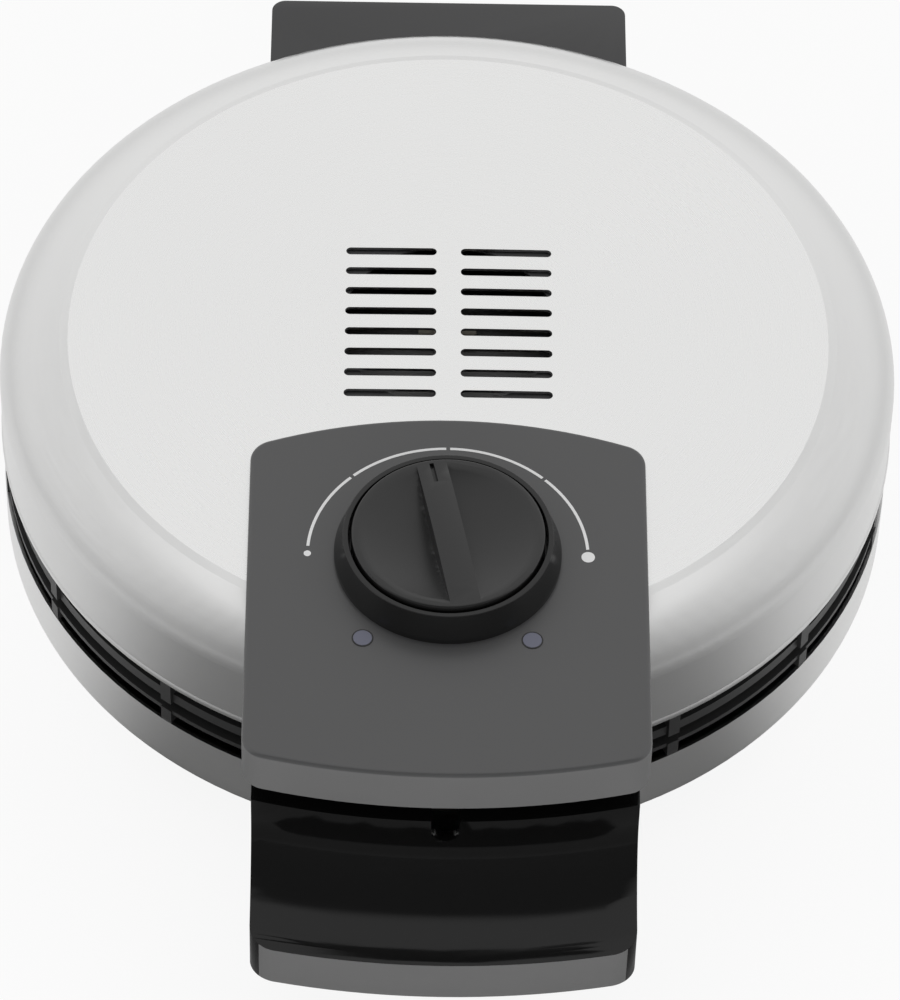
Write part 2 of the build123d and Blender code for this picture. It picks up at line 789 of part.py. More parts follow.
# Cover that closes the panel's overhang from below
cover_top = panel_bottom_z + seat_gap
with BuildPart() as panel_cover:
    with BuildSketch(Plane.XY.offset(cover_bottom_z)):
        add(panel_plan(panel_wall + seat_gap))
    extrude(amount=cover_top - cover_bottom_z)
    add(lid_envelope.part, mode=Mode.SUBTRACT)
    with BuildSketch(Plane.XY.offset(cover_bottom_z)):
        with Locations(*[(x, plate_y - cover_screw_distance) for x in (-cover_screw_x, cover_screw_x)]):
            Circle(screw_radius + hole_gap)
    extrude(amount=cover_top - cover_bottom_z, mode=Mode.SUBTRACT)
    split(bisect_by=Plane.XZ.offset(-plate_y), keep=Keep.TOP)
    with BuildSketch(Plane.XY.offset(cover_bottom_z)):
        Rectangle(2 * panel_half_width, 2 * panel_front)
        Rectangle(2 * cover_half_width, 2 * panel_front, mode=Mode.SUBTRACT)
    extrude(amount=cover_drop, mode=Mode.SUBTRACT)
panel_cover.part.label = "panel_cover"
export_step(panel_cover.part, "parts/panel_cover.step")

with BuildPart() as cover_screws:
    with BuildSketch(Plane.XY.offset(cover_bottom_z)):
        with Locations(*[(x, plate_y - cover_screw_distance) for x in (-cover_screw_x, cover_screw_x)]):
            Circle(screw_head_radius)
    extrude(amount=-screw_head_height / 2)
    with BuildSketch(Plane.XY.offset(cover_bottom_z)):
        with Locations(*[(x, plate_y - cover_screw_distance) for x in (-cover_screw_x, cover_screw_x)]):
            Circle(screw_radius)
    extrude(amount=cover_top - cover_bottom_z + screw_grip - seat_gap)
cover_screws.part.label = "cover_screws"
export_step(cover_screws.part, "parts/cover_screws.step")

# Bezel that the knob turns in
bezel_bore = knob_radius + knob_gap
with BuildPart() as knob_bezel:
    with BuildSketch(knob_section):
        with BuildLine():
            Polyline(
                (bezel_bore, panel_top_z),
                (bezel_foot_radius, panel_top_z),
                (bezel_foot_radius, panel_top_z + bezel_foot_height),
                (bezel_top_radius, panel_top_z + bezel_height),
                (bezel_bore, panel_top_z + bezel_height),
                close=True,
            )
        make_face()
    revolve(axis=knob_axis)
    fillet(knob_bezel.edges().group_by(Axis.Z)[-1], knob_edge_round / 2)
knob_bezel.part.label = "knob_bezel"
export_step(knob_bezel.part, "parts/knob_bezel.step")

# Indicator lenses, lamps and their board
for name, side in (("power_lens", -1), ("ready_lens", 1)):
    with BuildPart() as lens:
        with BuildSketch(Plane.XY.offset(lens_bottom)):
            with Locations((side * lamp_x, plate_y - lamp_distance)):
                Circle(lens_flange_radius)
        extrude(amount=lens_flange)
        with BuildSketch(Plane.XY.offset(panel_ceiling_z)):
            with Locations((side * lamp_x, plate_y - lamp_distance)):
                Circle(lens_radius)
        extrude(amount=panel_wall + lens_stand)
    lens.part.label = name
    export_step(lens.part, f"parts/{name}.step")

with BuildPart() as indicator_lamps:
    with BuildSketch(Plane.XY.offset(lamp_bottom)):
        with Locations((-lamp_x, plate_y - lamp_distance), (lamp_x, plate_y - lamp_distance)):
            Rectangle(lamp_side, lamp_side)
    extrude(amount=lamp_height)
indicator_lamps.part.label = "indicator_lamps"
export_step(indicator_lamps.part, "parts/indicator_lamps.step")

with BuildPart() as indicator_board:
    with BuildSketch(Plane.XY.offset(board_bottom)):
        with Locations((0, plate_y - board_distance)):
            Rectangle(board_length, board_depth)
    extrude(amount=board_thickness)
indicator_board.part.label = "indicator_board"
export_step(indicator_board.part, "parts/indicator_board.step")

# Thermostat on its bracket, with a threaded bush through lid and panel
with BuildPart() as thermostat:
    with BuildSketch(knob_level(thermostat_bottom)):
        Rectangle(thermostat_width, thermostat_depth)
    extrude(amount=thermostat_height)
    with BuildSketch(knob_level(thermostat_top)):
        Circle(thermostat_bush_radius)
    extrude(amount=bush_top - thermostat_top)
    with BuildSketch(knob_level(thermostat_top - spindle_depth)):
        Circle(spindle_radius + run_gap)
    extrude(amount=bush_top - thermostat_top + spindle_depth, mode=Mode.SUBTRACT)
thermostat.part.label = "thermostat"
export_step(thermostat.part, "parts/thermostat.step")

with BuildPart() as thermostat_nut:
    with BuildSketch(knob_level(panel_top_z)):
        RegularPolygon(thermostat_nut_radius, 6)
        Circle(thermostat_bush_radius + thread_gap, mode=Mode.SUBTRACT)
    extrude(amount=thermostat_nut_height)
thermostat_nut.part.label = "thermostat_nut"
export_step(thermostat_nut.part, "parts/thermostat_nut.step")

with BuildPart() as thermostat_bracket:
    with BuildSketch(knob_level(thermostat_bottom - bracket_sheet)):
        Rectangle(thermostat_width, thermostat_depth)
    extrude(amount=bracket_sheet)
    for side in (-1, 1):
        with BuildSketch(knob_level(upper_shield_top)):
            with Locations((side * (thermostat_width - bracket_sheet) / 2, 0)):
                Rectangle(bracket_sheet, thermostat_depth)
        extrude(amount=thermostat_bottom - upper_shield_top)
        with BuildSketch(knob_level(upper_shield_top)):
            with Locations((side * (thermostat_width + bracket_foot) / 2, bracket_foot / 2)):
                Rectangle(bracket_foot + 2 * bracket_sheet, thermostat_depth - bracket_foot)
        extrude(amount=bracket_sheet)
thermostat_bracket.part.label = "thermostat_bracket"
export_step(thermostat_bracket.part, "parts/thermostat_bracket.step")

with BuildPart() as heat_sensor:
    with BuildSketch(level(upper_back_z)):
        Circle(sensor_radius)
    extrude(amount=sensor_height)
heat_sensor.part.label = "heat_sensor"
export_step(heat_sensor.part, "parts/heat_sensor.step")

with BuildPart() as thermal_fuse:
    with BuildSketch(Plane.YZ.offset(-fuse_length / 2)):
        with Locations((plate_y + sensor_radius * 3, upper_shield_top + fuse_radius)):
            Circle(fuse_radius)
    extrude(amount=fuse_length)
thermal_fuse.part.label = "thermal_fuse"
export_step(thermal_fuse.part, "parts/thermal_fuse.step")

# Upper wiring: from the thermostat to the rear of the lid and to the lamp board
wire_floor = upper_shield_top + wire_radius
wire_bend = 3 * wire_radius
thermostat_middle_z = thermostat_bottom + thermostat_height / 2
rear_leads = [
    wire(
        [
            (side * thermostat_width / 4, knob_y + thermostat_depth / 2, thermostat_middle_z),
            (side * thermostat_width / 4, knob_y + thermostat_depth, thermostat_middle_z),
            (side * upper_wire_x, plate_y, wire_floor),
            (side * upper_wire_x, plate_y + terminal_block_y, wire_floor),
        ],
        wire_bend,
    )
    for side in (-1, 1)
]
with BuildPart() as upper_wiring:
    add(rear_leads)
    for x, y in board_wires:
        with BuildSketch(Plane.XY.offset(board_bottom)):
            with Locations((x, y)):
                Circle(wire_radius)
        extrude(amount=-panel_skirt)
upper_wiring.part.label = "upper_wiring"
export_step(upper_wiring.part, "parts/upper_wiring.step")

# Knob: a cap with two bowls either side of a grip bar, and its spindle
knob_plane = Plane(origin=(0, knob_y, 0), x_dir=(cos(radians(knob_angle)), sin(radians(knob_angle)), 0))
bar_side = Plane(origin=(0, knob_y, 0), x_dir=knob_plane.y_dir, z_dir=knob_plane.x_dir)
bar_half = knob_bowl_radius + knob_rim_width / 4
with BuildPart() as knob:
    with BuildSketch(knob_section):
        draw_ring_box(0, knob_radius, knob_bottom_z, knob_top_z)
    revolve(axis=knob_axis)
    fillet(knob.edges().group_by(Axis.Z)[-1], knob_edge_round)
    with BuildSketch(knob_section):
        draw_ring_box(0, knob_radius - knob_skirt, knob_bottom_z, knob_floor_z)
    revolve(axis=knob_axis, mode=Mode.SUBTRACT)
    with BuildSketch(knob_section):
        with BuildLine():
            dish = TangentArc((0, knob_bowl_z), (knob_bowl_radius, knob_top_z), tangent=(1, 0))
            Polyline(dish @ 1, (0, knob_top_z), dish @ 0)
        make_face()
    revolve(axis=knob_axis, mode=Mode.SUBTRACT)
    with BuildSketch(bar_side):
        with BuildLine():
            Polyline(
                (-bar_half, knob_top_z),
                (-bar_half, knob_floor_z),
                (bar_half, knob_floor_z),
                (bar_half, knob_top_z),
            )
            ThreePointArc((bar_half, knob_top_z), (0, knob_top_z + knob_bar_arch), (-bar_half, knob_top_z))
        make_face()
    extrude(amount=knob_bar_width / 2, both=True)
    with BuildSketch(knob_plane.offset(knob_floor_z)):
        Circle(spindle_radius + touch)
    extrude(amount=spindle_top - knob_floor_z, mode=Mode.SUBTRACT)
    with BuildSketch(knob_plane.offset(knob_top_z - pointer_width)):
        with Locations((0, bar_half - pointer_length / 2)):
            Rectangle(pointer_width, pointer_length)
    extrude(amount=2 * knob_bar_arch, mode=Mode.SUBTRACT)
knob.part.label = "knob"
export_step(knob.part, "parts/knob.step")

with BuildPart() as knob_spindle:
    with BuildSketch(knob_plane.offset(thermostat_top - spindle_depth + seat_gap)):
        Circle(spindle_radius)
    extrude(amount=spindle_top - seat_gap - (thermostat_top - spindle_depth + seat_gap))
knob_spindle.part.label = "knob_spindle"
export_step(knob_spindle.part, "parts/knob_spindle.step")

# Lid hinge block: stands off the lid's rear and carries the hinge pins' bores
with BuildPart() as lid_hinge_block:
    with BuildSketch(across(-block_half_width)):
        with Locations(((lid_block_y + block_rear_y) / 2, (lid_block_z + block_top_z) / 2)):
            Rectangle(block_rear_y - lid_block_y, block_top_z - lid_block_z)
        with Locations(((hinge_y + block_rear_y) / 2, (hinge_z + block_top_z) / 2)):
            Rectangle(block_rear_y - hinge_y, block_top_z - hinge_z)
        with Locations((hinge_y, hinge_z)):
            Circle(knuckle_radius)
        with Locations((hinge_y - knuckle_radius / 2, (hinge_z + lid_block_z) / 2)):
            Rectangle(knuckle_radius, lid_block_z - hinge_z + touch)
    extrude(amount=2 * block_half_width)
    with BuildSketch(Plane.XY.offset(0)):
        with Locations((0, block_rear_y - block_half_width)):
            RectangleRounded(2 * block_half_width, 2 * block_half_width, block_corner)
    extrude(amount=block_top_z, mode=Mode.INTERSECT)
    add(rear_path.part, mode=Mode.SUBTRACT)
    for low, high in ear_spans:
        with BuildSketch(across(low - swing_gap)):
            with Locations((hinge_y, hinge_z)):
                Circle(slot_half_height)
            with Locations((hinge_y + slot_half_height, hinge_z - slot_half_height / 2)):
                Rectangle(2 * slot_half_height, 3 * slot_half_height)
            with Locations((hinge_y, hinge_z - slot_half_height)):
                Rectangle(2 * slot_half_height, 2 * slot_half_height)
        extrude(amount=high - low + 2 * swing_gap, mode=Mode.SUBTRACT)
    for side in (-1, 1):
        with BuildSketch(across(side * pin_inner_x - side * seat_gap)):
            with Locations((hinge_y, hinge_z)):
                Circle(pin_radius + run_gap)
        extrude(amount=side * block_half_width, mode=Mode.SUBTRACT)
    with BuildSketch(across(-sleeve_half_length - seat_gap)):
        with Locations((hinge_y, hinge_z)):
            Circle(sleeve_radius + run_gap)
    extrude(amount=2 * (sleeve_half_length + seat_gap), mode=Mode.SUBTRACT)
    with BuildSketch(Plane.XZ.offset(-lid_block_y)):
        with Locations((-block_screw_x, block_screw_z), (block_screw_x, block_screw_z)):
            Circle(screw_radius + thread_gap)
    extrude(amount=lid_block_y - block_screw_end_y, mode=Mode.SUBTRACT)
lid_hinge_block.part.label = "lid_hinge_block"
export_step(lid_hinge_block.part, "parts/lid_hinge_block.step")

with BuildPart() as block_screws:
    with BuildSketch(Plane.XZ.offset(-screw_head_y)):
        with Locations((-block_screw_x, block_screw_z), (block_screw_x, block_screw_z)):
            Circle(screw_head_radius)
    extrude(amount=screw_head_height)
    with BuildSketch(Plane.XZ.offset(-screw_head_y)):
        with Locations((-block_screw_x, block_screw_z), (block_screw_x, block_screw_z)):
            Circle(screw_radius)
    extrude(amount=screw_head_y + seat_gap - block_screw_end_y)
block_screws.part.label = "block_screws"
export_step(block_screws.part, "parts/block_screws.step")

# Base shell: a steel cup with a round opening below and an inlet at the rear
with BuildPart() as base_shell:
    with BuildSketch(plate_section):
        add(base_outside(0))
    revolve(axis=plate_axis)
    with BuildSketch(plate_section):
        add(base_outside(-sheet))
    revolve(axis=plate_axis, mode=Mode.SUBTRACT)
    with BuildSketch(level(base_clearance)):
        Circle(base_opening_radius)
    extrude(amount=sheet, mode=Mode.SUBTRACT)
    with BuildSketch(Plane.XZ.offset(-plate_y)):
        with Locations((0, gland_height)):
            Circle(gland_radius)
        with Locations(*block_bolts):
            Circle(screw_radius + hole_gap)
    extrude(amount=-shell_radius, mode=Mode.SUBTRACT)
    with BuildSketch(Plane.XZ.offset(-plate_y)):
        with Locations(*handle_bolts):
            Circle(screw_radius + hole_gap)
    extrude(amount=shell_radius, mode=Mode.SUBTRACT)
base_shell.part.label = "base_shell"
export_step(base_shell.part, "parts/base_shell.step")

# Lower carrier ring: thin flange over the base shell's edge, with lugs and a shelf
with BuildPart() as lower_ring:
    with BuildSketch(plate_section):
        draw_ring_box(ring_bore, lower_flange_radius, lower_flange_bottom, lower_flange_top)
        draw_ring_box(ring_bore, ring_bore + ring_wall, lower_shelf_bottom, lower_flange_top)
        draw_ring_box(shelf_bore, ring_bore + ring_wall, lower_shelf_bottom, lower_back_z)
    revolve(axis=plate_axis)
    with BuildSketch(level(base_top_z + touch)):
        with PolarLocations(lug_radius, ring_lug_count, start_angle=ring_lug_turn):
            Rectangle(ring_lug_depth, ring_lug_width)
    extrude(amount=lower_flange_top - base_top_z - touch)
    with BuildSketch(level(lower_shelf_bottom)):
        draw_screw_ring(screw_radius + hole_gap)
    extrude(amount=shelf_thickness, mode=Mode.SUBTRACT)
lower_ring.part.label = "lower_ring"
export_step(lower_ring.part, "parts/lower_ring.step")

# Lower baking plate, facing up
lower_plate = baking_plate(Plane(origin=(0, plate_y, parting_height), x_dir=(1, 0, 0), z_dir=(0, 0, -1)), -90)
lower_plate.part.label = "lower_plate"
export_step(lower_plate.part, "parts/lower_plate.step")

# Lower heater and its cold ends
lower_heater_z = lower_back_z - heater_tube_radius + heater_sink
lower_heater = heater_ring(lower_heater_z)
lower_heater.part.label = "lower_heater"
export_step(lower_heater.part, "parts/lower_heater.step")

lower_heater_ends = heater_ends(lower_heater_z)
lower_heater_ends.part.label = "lower_heater_ends"
export_step(lower_heater_ends.part, "parts/lower_heater_ends.step")

# Lower heat shield: a shallow dish under the heater
lower_shield_seat = lower_shelf_bottom - shield_sheet
with BuildPart() as lower_heat_shield:
    with BuildSketch(plate_section):
        draw_ring_box(
            shield_wall_radius - shield_sheet, shield_radius, lower_shield_seat, lower_shelf_bottom
        )
        draw_ring_box(
            shield_wall_radius - shield_sheet, shield_wall_radius, lower_shield_bottom, lower_shelf_bottom
        )
        draw_ring_box(0, shield_wall_radius, lower_shield_bottom, lower_shield_bottom + shield_sheet)
    revolve(axis=plate_axis)
    with BuildSketch(level(lower_shield_seat)):
        draw_screw_ring(screw_radius + hole_gap)
    extrude(amount=shield_sheet, mode=Mode.SUBTRACT)
lower_heat_shield.part.label = "lower_heat_shield"
export_step(lower_heat_shield.part, "parts/lower_heat_shield.step")

lower_plate_screws = plate_screws(lower_shield_seat, lower_back_z + screw_grip - seat_gap, -1)
lower_plate_screws.part.label = "lower_plate_screws"
export_step(lower_plate_screws.part, "parts/lower_plate_screws.step")

# Bottom cover under the base shell's opening, with air slots
foot_places = [(x, y) for x in (-foot_x, foot_x) for y in (-foot_y, foot_y)]
with BuildPart() as bottom_cover:
    with BuildSketch(level(base_clearance - bottom_cover_thickness)):
        Circle(bottom_cover_radius)
        with PolarLocations(bottom_slot_circle, bottom_slot_count, start_angle=bottom_slot_turn):
            SlotOverall(bottom_slot_length, bottom_slot_width, mode=Mode.SUBTRACT)
        with Locations(*foot_places):
            Circle(foot_plug_radius + seat_gap / 2, mode=Mode.SUBTRACT)
        with PolarLocations(base_post_circle, post_count, start_angle=base_post_turn):
            Circle(screw_radius + hole_gap, mode=Mode.SUBTRACT)
    extrude(amount=bottom_cover_thickness)
bottom_cover.part.label = "bottom_cover"
export_step(bottom_cover.part, "parts/bottom_cover.step")

# Posts between bottom cover and lower heat shield, drilled for the bottom screws
with BuildPart() as base_posts:
    with BuildSketch(level(base_clearance)):
        with PolarLocations(base_post_circle, post_count, start_angle=base_post_turn):
            Circle(post_radius)
            Circle(screw_radius + thread_gap, mode=Mode.SUBTRACT)
    extrude(amount=lower_shield_bottom - base_clearance)
base_posts.part.label = "base_posts"
export_step(base_posts.part, "parts/base_posts.step")

with BuildPart() as bottom_screws:
    with BuildSketch(level(base_clearance - bottom_cover_thickness)):
        with PolarLocations(base_post_circle, post_count, start_angle=base_post_turn):
            Circle(screw_head_radius)
    extrude(amount=-screw_head_height)
    with BuildSketch(level(base_clearance - bottom_cover_thickness)):
        with PolarLocations(base_post_circle, post_count, start_angle=base_post_turn):
            Circle(screw_radius)
    extrude(amount=bottom_cover_thickness + screw_grip)
bottom_screws.part.label = "bottom_screws"
export_step(bottom_screws.part, "parts/bottom_screws.step")

# Rubber feet with plugs through the bottom cover
foot_top = base_clearance - bottom_cover_thickness
with BuildPart() as rubber_feet:
    with BuildSketch(level(0)):
        with Locations(*foot_places):
            Circle(foot_radius)
    extrude(amount=foot_top)
    fillet(rubber_feet.edges().group_by(Axis.Z)[0], foot_edge_round)
    with BuildSketch(level(foot_top)):
        with Locations(*foot_places):
            Circle(foot_plug_radius)
    extrude(amount=bottom_cover_thickness + foot_plug_head)
    with BuildSketch(level(base_clearance)):
        with Locations(*foot_places):
            Circle(foot_plug_radius + foot_plug_head)
    extrude(amount=foot_plug_head)
rubber_feet.part.label = "rubber_feet"
export_step(rubber_feet.part, "parts/rubber_feet.step")

# Lower handle: a hollow moulding with a concave tray for the fingers
handle_outside = handle_shape(0)
handle_inside = handle_shape(handle_wall)
with BuildPart() as lid_path:
    with BuildSketch(level(base_top_z)):
        Circle(shell_radius + hem_swell + lid_gap)
    extrude(amount=handle_top_z)
notch_y = arc_centre_y - handle_wall_arc
with BuildPart() as lower_handle:
    add(handle_outside)
    add(handle_inside, mode=Mode.SUBTRACT)
    add(base_envelope.part, mode=Mode.SUBTRACT)
    add(lid_path.part, mode=Mode.SUBTRACT)
    with BuildSketch(Plane.XZ.offset(-notch_y - handle_wall * 2)):
        with Locations((0, handle_top_z)):
            Rectangle(handle_notch_width, 2 * handle_notch_depth - handle_notch_width)
        with Locations((0, handle_top_z - handle_notch_depth + handle_notch_width / 2)):
            Circle(handle_notch_width / 2)
    extrude(amount=handle_wall * 4, mode=Mode.SUBTRACT)
lower_handle.part.label = "lower_handle"
export_step(lower_handle.part, "parts/lower_handle.step")

# Insert that closes the handle's underside
with BuildPart() as handle_insert:
    add(handle_shape(handle_wall + seat_gap))
    with BuildSketch(across(-handle_half_width)):
        with BuildLine():
            Polyline(
                (insert_front_y, handle_lip_bottom + handle_wall),
                (insert_front_y, handle_lip_bottom + handle_wall + insert_thickness),
                (insert_back_y, handle_root_height + handle_wall + insert_thickness),
                (insert_back_y, handle_root_height + handle_wall),
                close=True,
            )
        make_face()
    extrude(amount=2 * handle_half_width, mode=Mode.INTERSECT)
    add(base_envelope.part, mode=Mode.SUBTRACT)
handle_insert.part.label = "handle_insert"
export_step(handle_insert.part, "parts/handle_insert.step")

# Rear block on the base, with the hinge ears and the cord's inlet
with BuildPart() as rear_block:
    with BuildSketch(across(-block_half_width)):
        with BuildLine():
            Polyline(
                (plate_y, block_bottom),
                (block_rear_y, block_bottom),
                (block_rear_y, block_shelf_z),
                (hinge_y, block_shelf_z),
                (hinge_y, block_front_z),
                (plate_y, block_front_z),
                close=True,
            )
        make_face()
        with Locations((hinge_y, hinge_z)):
            Circle(knuckle_radius + swing_gap, mode=Mode.SUBTRACT)
    extrude(amount=2 * block_half_width)
    with BuildSketch(Plane.XY.offset(0)):
        with Locations((0, block_rear_y - block_half_width)):
            RectangleRounded(2 * block_half_width, 2 * block_half_width, block_corner)
    extrude(amount=block_top_z, mode=Mode.INTERSECT)
    with BuildSketch(Plane.XY.offset(block_bottom + block_wall)):
        with Locations((0, block_wall_y - block_half_width)):
            Rectangle(2 * (block_half_width - block_wall), 2 * block_half_width)
    extrude(amount=block_shelf_z - block_bottom - 2 * block_wall, mode=Mode.SUBTRACT)
    add(base_envelope.part, mode=Mode.SUBTRACT)
    add(rear_path.part, mode=Mode.SUBTRACT)
    for low, high in ear_spans:
        with BuildSketch(across(low)):
            with Locations((hinge_y, hinge_z)):
                Circle(ear_radius)
            with Locations((hinge_y, (hinge_z + block_shelf_z - block_wall) / 2)):
                Rectangle(2 * ear_radius, hinge_z - block_shelf_z + block_wall)
        extrude(amount=high - low)
    for side in (-1, 1):
        with BuildSketch(across(side * ear_inner_x)):
            with Locations((hinge_y, hinge_z)):
                Circle(pin_radius + touch)
        extrude(amount=side * (ear_outer_x - ear_inner_x), mode=Mode.SUBTRACT)
    with BuildSketch(across(-middle_ear_half)):
        with Locations((hinge_y, hinge_z)):
            Circle(sleeve_radius + touch)
    extrude(amount=2 * middle_ear_half, mode=Mode.SUBTRACT)
    with BuildSketch(Plane.XZ.offset(-block_rear_y)):
        with Locations((0, gland_height)):
            Circle(gland_radius + touch)
    extrude(amount=block_wall, mode=Mode.SUBTRACT)
rear_block.part.label = "rear_block"
export_step(rear_block.part, "parts/rear_block.step")

# Hinge pins, fast in the ears and running in the lid's block
for name, side in (("left_hinge_pin", -1), ("right_hinge_pin", 1)):
    with BuildPart() as hinge_pin:
        with BuildSketch(across(side * pin_inner_x)):
            with Locations((hinge_y, hinge_z)):
                Circle(pin_radius)
        extrude(amount=side * (pin_outer_x - pin_inner_x))
    hinge_pin.part.label = name
    export_step(hinge_pin.part, f"parts/{name}.step")

# Sleeve on the hinge axis that leads the wires from base to lid
with BuildPart() as link_sleeve:
    with BuildSketch(across(-sleeve_half_length)):
        with Locations((hinge_y, hinge_z)):
            Circle(sleeve_radius)
            Circle(sleeve_radius - sleeve_wall, mode=Mode.SUBTRACT)
    extrude(amount=2 * sleeve_half_length)
link_sleeve.part.label = "link_sleeve"
export_step(link_sleeve.part, "parts/link_sleeve.step")

# Gland that the mains lead passes through
with BuildPart() as cord_gland:
    with BuildSketch(Plane.XZ.offset(-block_wall_y)):
        with Locations((0, gland_height)):
            Circle(gland_flange_radius)
    extrude(amount=gland_flange)
    with BuildSketch(Plane.XZ.offset(-block_wall_y)):
        with Locations((0, gland_height)):
            Circle(gland_radius)
    extrude(amount=block_wall_y - gland_end_y)
    with BuildSketch(Plane.XZ.offset(-gland_end_y)):
        with Locations((0, gland_height)):
            Circle(gland_bore_radius)
    extrude(amount=gland_end_y - block_wall_y + gland_flange, mode=Mode.SUBTRACT)
cord_gland.part.label = "cord_gland"
export_step(cord_gland.part, "parts/cord_gland.step")

# Terminal block, earth tab and leads inside the base
with BuildPart() as terminal_block:
    with BuildSketch(level(base_clearance)):
        with Locations((0, terminal_block_y)):
            Rectangle(terminal_block_length, terminal_block_depth)
    extrude(amount=terminal_block_height)
terminal_block.part.label = "terminal_block"
export_step(terminal_block.part, "parts/terminal_block.step")

with BuildPart() as earth_tab:
    with BuildSketch(level(base_clearance + sheet)):
        with Locations((terminal_block_length, base_opening_radius - earth_tab_length / 3)):
            Rectangle(earth_tab_width, earth_tab_length)
    extrude(amount=sheet)
earth_tab.part.label = "earth_tab"
export_step(earth_tab.part, "parts/earth_tab.step")

base_wire_z = base_clearance + terminal_block_height / 2
base_leads = [
    wire(
        [
            (x, plate_y + terminal_block_y + terminal_block_depth / 2, base_wire_z),
            (x, plate_y + base_opening_radius, base_wire_z),
            (x / 3, block_wall_y - block_wall - gland_flange, gland_height),
        ],
        wire_bend,
    )
    for x in (-lead_spread, 0.001, lead_spread)
]
with BuildPart() as lower_wiring:
    add(base_leads)
lower_wiring.part.label = "lower_wiring"
export_step(lower_wiring.part, "parts/lower_wiring.step")
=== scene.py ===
import json
import math

import bmesh
import bpy
from mathutils import Matrix, Vector


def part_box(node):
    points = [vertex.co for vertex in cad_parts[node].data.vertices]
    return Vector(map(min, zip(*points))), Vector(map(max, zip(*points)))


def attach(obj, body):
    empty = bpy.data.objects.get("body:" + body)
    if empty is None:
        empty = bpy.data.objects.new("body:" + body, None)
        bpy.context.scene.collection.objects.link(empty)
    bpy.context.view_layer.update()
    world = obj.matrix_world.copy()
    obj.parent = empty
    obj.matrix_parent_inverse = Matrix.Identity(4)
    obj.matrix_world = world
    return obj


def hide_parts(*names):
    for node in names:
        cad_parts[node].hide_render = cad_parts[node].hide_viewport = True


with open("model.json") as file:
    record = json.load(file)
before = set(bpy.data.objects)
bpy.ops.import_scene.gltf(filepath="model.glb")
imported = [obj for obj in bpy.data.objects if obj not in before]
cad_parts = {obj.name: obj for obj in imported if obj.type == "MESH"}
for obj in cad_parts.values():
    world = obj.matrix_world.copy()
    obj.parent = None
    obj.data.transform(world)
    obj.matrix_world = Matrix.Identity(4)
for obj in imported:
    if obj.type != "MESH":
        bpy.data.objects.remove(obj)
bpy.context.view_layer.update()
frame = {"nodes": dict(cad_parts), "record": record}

# Widths measured on the lid and the handle, in metres
DISC_RADIUS = 0.0911
LIP_DEPTH = 0.02

# Places read from the frame
slot_of = {entry["node"]: entry["material_slot"] for entry in frame["record"]["subparts"]}
lid_low, lid_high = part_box("lid_shell")
bezel_low, bezel_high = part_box("knob_bezel")
plate_y = (lid_low.y + lid_high.y) / 2
knob_y = (bezel_low.y + bezel_high.y) / 2
panel_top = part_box("control_panel")[1].z
lip_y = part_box("lower_handle")[0].y + LIP_DEPTH

# Camera, from the ellipses of the lid and the edges of the panel in the photograph
CAMERA_PLACE = Vector((-0.01663, -0.91172, 1.10696))
CAMERA_RIGHT = Vector((0.99982, 0.00269, 0.01887))
CAMERA_UP = Vector((-0.01425, 0.76290, 0.64632))
CAMERA_BACK = Vector((-0.01266, -0.64648, 0.76280))
CAMERA_LENS = 209.7
CAMERA_SENSOR = 36.0
CAMERA_NEAR = 0.05
CAMERA_FAR = 30.0

# The studio's dark side: sines of the headings where it is full and where it ends, the sine of
# the height where it starts to fade, and its brightness
DARK_FULL = 0.72
DARK_EDGE = 0.2
DARK_TOP = 0.98
DARK_LEVEL = 0.2

# The studio's brightness at the horizon, and the sine of the height where it is full
HORIZON_LEVEL = 0.8
HORIZON_TOP = 0.5

# The floor's own glow as the camera sees it and as the object mirrors it, and its colours; towards the
# front, mirrored rays see less glow and a dark colour, a painted shade
FLOOR_HALF = 6.0
FLOOR_SEEN = 0.88
FLOOR_MIRRORED = 0.55
FLOOR_FRONT_MIRRORED = 0.08
FLOOR_COLOR = (0.9, 0.9, 0.9, 1)
FLOOR_FRONT_PAINTED_SHADE = (0.2, 0.2, 0.2, 1)
WHITE = (1, 1, 1, 1)

# The soft lamp in front of the object, in metres and watts
LAMP_PLACE = Vector((0.0, -1.3, 0.3))
LAMP_AIM = Vector((0.0, 0.0, 0.04))
LAMP_SIZE = (1.8, 0.7)
LAMP_POWER = 14.0

# Plastic: its fine grain, and the slow drift of its gloss and tone
GRAIN_DETAIL = 2.0
GRAIN_BUMP = 0.6
DRIFT_SCALE = 35.0
DRIFT_DETAIL = 3.0
DRIFT_GLOSS = 0.03
DRIFT_TONE = 0.06

# Brushed steel: its lines, drawn out about the plate axis, and the cloud that softens their tone
BRUSH_SCALE = 2400.0
BRUSH_DETAIL = 4.0
BRUSH_BREAKS = 0.65
BRUSH_SHAPE = (1.0, 0.0035, 1.0)
BRUSH_GLOSS = (-0.05, 0.07)
BRUSH_TONES = (0.95, 1.04)
BRUSH_BUMP = 0.35
CLOUD_SCALE = 18.0
CLOUD_DETAIL = 3.0

# Sheet, screws and tubes: their mottle
MOTTLE_SCALE = 120.0
MOTTLE_DETAIL = 4.0
MOTTLE_GLOSS = (-0.08, 0.1)
MOTTLE_TONES = (0.85, 1.08)

